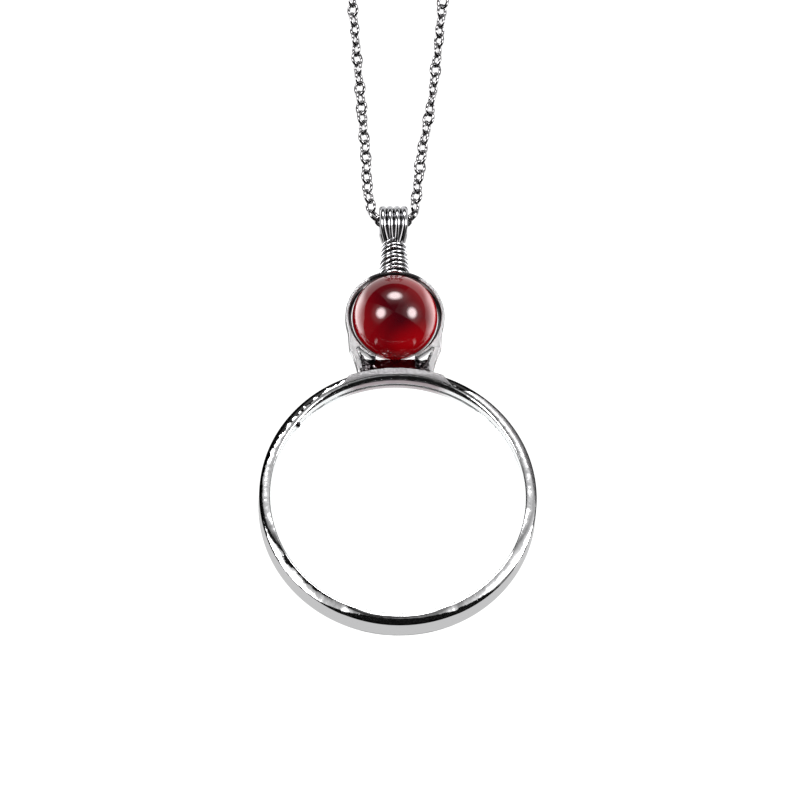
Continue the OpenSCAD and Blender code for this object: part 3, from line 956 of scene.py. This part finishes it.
def make_camera():
    """Long lens from below the front, held with a slight roll."""
    look = Vector((math.sin(CAMERA_LEFT) * math.cos(CAMERA_BELOW),
                   math.cos(CAMERA_LEFT) * math.cos(CAMERA_BELOW), math.sin(CAMERA_BELOW)))
    level = Vector((math.cos(CAMERA_LEFT), -math.sin(CAMERA_LEFT), 0))
    raised = level.cross(look)
    right = math.cos(CAMERA_ROLL) * level - math.sin(CAMERA_ROLL) * raised
    up = math.sin(CAMERA_ROLL) * level + math.cos(CAMERA_ROLL) * raised
    aim = BAIL + right * (IMAGE_CENTRE[0] - BAIL_PIXEL[0]) * PIXEL
    aim -= up * (IMAGE_CENTRE[1] - BAIL_PIXEL[1]) * PIXEL * BAIL_FURTHER
    lens = bpy.data.cameras.new("camera")
    lens.sensor_width = 36
    ring_distance = CAMERA_DISTANCE + (RING - BAIL).dot(look)
    lens.lens = lens.sensor_width * ring_distance / (2 * IMAGE_CENTRE[0] * PIXEL)
    lens.clip_start, lens.clip_end = 0.05, 100
    camera = bpy.data.objects.new("camera", lens)
    bpy.context.scene.collection.objects.link(camera)
    turned = Matrix((right, up, -look)).transposed().to_4x4()
    camera.matrix_world = Matrix.Translation(aim - look * CAMERA_DISTANCE) @ turned
    bpy.context.scene.camera = camera
    return look, right, up


# The three soft lamps. Columns: angle away from the camera, angle round from the right, and the half size
# round the camera and away from it, all in degrees
LAMPS = [(40.5, 161, 14, 14), (50, 16, 14, 14), (62.5, 90, 17, 12.4)]
LAMP_LEVEL, GLOW_LEVEL = 15.0, 1.0
# Where a lamp and its glow start to fade and where they end, in the lamp's half sizes
LAMP_FADE, GLOW_FADE = (0.45, 1.25), (0.5, 2.4)
# The dark tent's panels meet in a point above the camera, here in degrees
TENT_SEAM_RISE = 15.8
# The panels round that point. Columns: angle at which the panel starts, its brightness, and its share of the
# lamps' glow
PANELS = [
    (-180, 0.05, 1.0), (-145, 0.004, 0.0), (-25, 0.20, 1.0),
    (66, 0.04, 1.0), (124, 0.004, 0.0), (150, 0.05, 1.0),
]
# How bright the white room is: in general, at its side walls, straight behind, overhead and underfoot
ROOM_LEVEL, WALL_LEVEL, BACK_LEVEL, OVER_LEVEL, UNDER_LEVEL = 1.3, 5.0, 0.62, 0.95, 0.62
# The right side of the room has this share of the left's light
RIGHT_SHARE = 0.62
BACKGROUND_LEVEL = 1.15
# How far the tent's opening is drawn forward, overhead and underfoot
TENT_OVER, TENT_UNDER = 0.3, 0.6


def lamp_light(sums, way, front, right, up):
    """The lamps' light and the wide glow round them."""
    lamps, glow = 0.0, 0.0
    for away, around, wide, tall in LAMPS:
        away, around = math.radians(away), math.radians(around)
        out = right * math.cos(around) + up * math.sin(around)
        centre = front * math.cos(away) + out * math.sin(away)
        beyond = front * -math.sin(away) + out * math.cos(away)
        side = sums.times(sums.dot(way, front.cross(out)), 1 / math.sin(math.radians(wide)))
        far = sums.times(sums.dot(way, beyond), 1 / math.sin(math.radians(tall)))
        squares = sums.maths("ADD", sums.maths("POWER", side, 2.0), sums.maths("POWER", far, 2.0))
        off = sums.maths("SQRT", squares)
        facing = sums.maths("GREATER_THAN", sums.dot(way, centre), 0.0)
        lamps = sums.maths("ADD", lamps, sums.times(sums.softly(off, *LAMP_FADE, LAMP_LEVEL, 0.0), facing))
        glow = sums.maths("ADD", glow, sums.times(sums.softly(off, *GLOW_FADE, GLOW_LEVEL, 0.0), facing))
    return lamps, glow


def room_light(sums, ahead, across, above):
    """The white room behind the pendant, brightest at its side walls and dimmer straight behind."""
    aside = sums.unsigned(across)
    walls = sums.softly(ahead, -0.05, -0.6, ROOM_LEVEL, WALL_LEVEL)
    room = sums.between(sums.softly(aside, 0.35, 0.75), ROOM_LEVEL, walls)
    room = sums.times(room, sums.softly(across, 0.2, 0.8, 1.0, RIGHT_SHARE))
    back = sums.times(
        sums.softly(ahead, -0.45, -0.75), sums.softly(aside, 0.62, 0.45), sums.softly(above, 0.35, 0.1),
    )
    over, under = sums.softly(above, 0.35, 0.6), sums.softly(above, -0.3, -0.5)
    for share, level in ((back, BACK_LEVEL), (over, OVER_LEVEL), (under, UNDER_LEVEL)):
        room = sums.between(share, room, level)
    return room


def make_world(front, right, up):
    """White all round, with the dark tent and its three lamps that glass and polished metal mirror."""
    world = bpy.data.worlds.new("studio")
    bpy.context.scene.world = world
    world.use_nodes = True
    tree = world.node_tree
    sums = Sums(tree)
    way = sums.place("Generated")
    ahead, across, above = sums.dot(way, front), sums.dot(way, right), sums.dot(way, up)

    rise = math.radians(TENT_SEAM_RISE)
    over_seam = sums.dot(way, up * math.cos(rise) - front * math.sin(rise))
    panel_level, glow_share = sums.stops_round(over_seam, across, PANELS, "CONSTANT")
    lamps, glow = lamp_light(sums, way, front, right, up)
    shine = sums.maths("ADD", lamps, sums.times(glow, glow_share))
    inside = sums.maths("ADD", panel_level, shine)

    over = sums.times(sums.maths("MAXIMUM", above, 0.0), TENT_OVER)
    under = sums.times(sums.maths("MAXIMUM", sums.times(above, -1.0), 0.0), TENT_UNDER)
    edge = sums.maths("ADD", sums.maths("ADD", ahead, over), under)
    opening = sums.softly(edge, -0.02, 0.02)
    mirrored = sums.between(opening, room_light(sums, ahead, across, above), inside)

    rays = put(tree, "ShaderNodeLightPath").outputs
    through = sums.maths("GREATER_THAN", rays["Transmission Depth"], 0.5)
    glossy = sums.times(rays["Is Glossy Ray"], sums.maths("SUBTRACT", 1.0, through))
    level = sums.between(glossy, BACKGROUND_LEVEL, mirrored)
    background = tree.nodes["Background"]
    tree.links.new(level, background.inputs["Strength"])
    background.inputs["Color"].default_value = (1, 1, 1, 1)


look, right, up = make_camera()
make_world(-look, right, up)
bpy.context.scene.view_settings.view_transform = "Standard"

# Put the pieces on their bodies

wires = wire_tree()
setting_pieces = [
    make_ring(), make_saddle(), make_cradle(), make_web(), make_solder(), make_burr(), make_neck(),
    make_neck_foot(), make_bail(wires), *make_seats()
]
dressed_pieces = [(piece, "pendant", "setting", "polished_metal") for piece in setting_pieces]
dressed_pieces += [
    (make_wrap(wires), "pendant", "wrap_wire", "polished_metal"),
    (make_bead(), "pendant", "bead", "red_glass"),
    (make_lens(), "pendant", "lens", "clear_glass"),
    (make_chain(), "necklace", "chain", "chain_steel"),
    (make_clasp(), "necklace", "clasp", "chain_steel"),
]
for piece, body, node, finish in dressed_pieces:
    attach(piece, body)
    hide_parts(node)
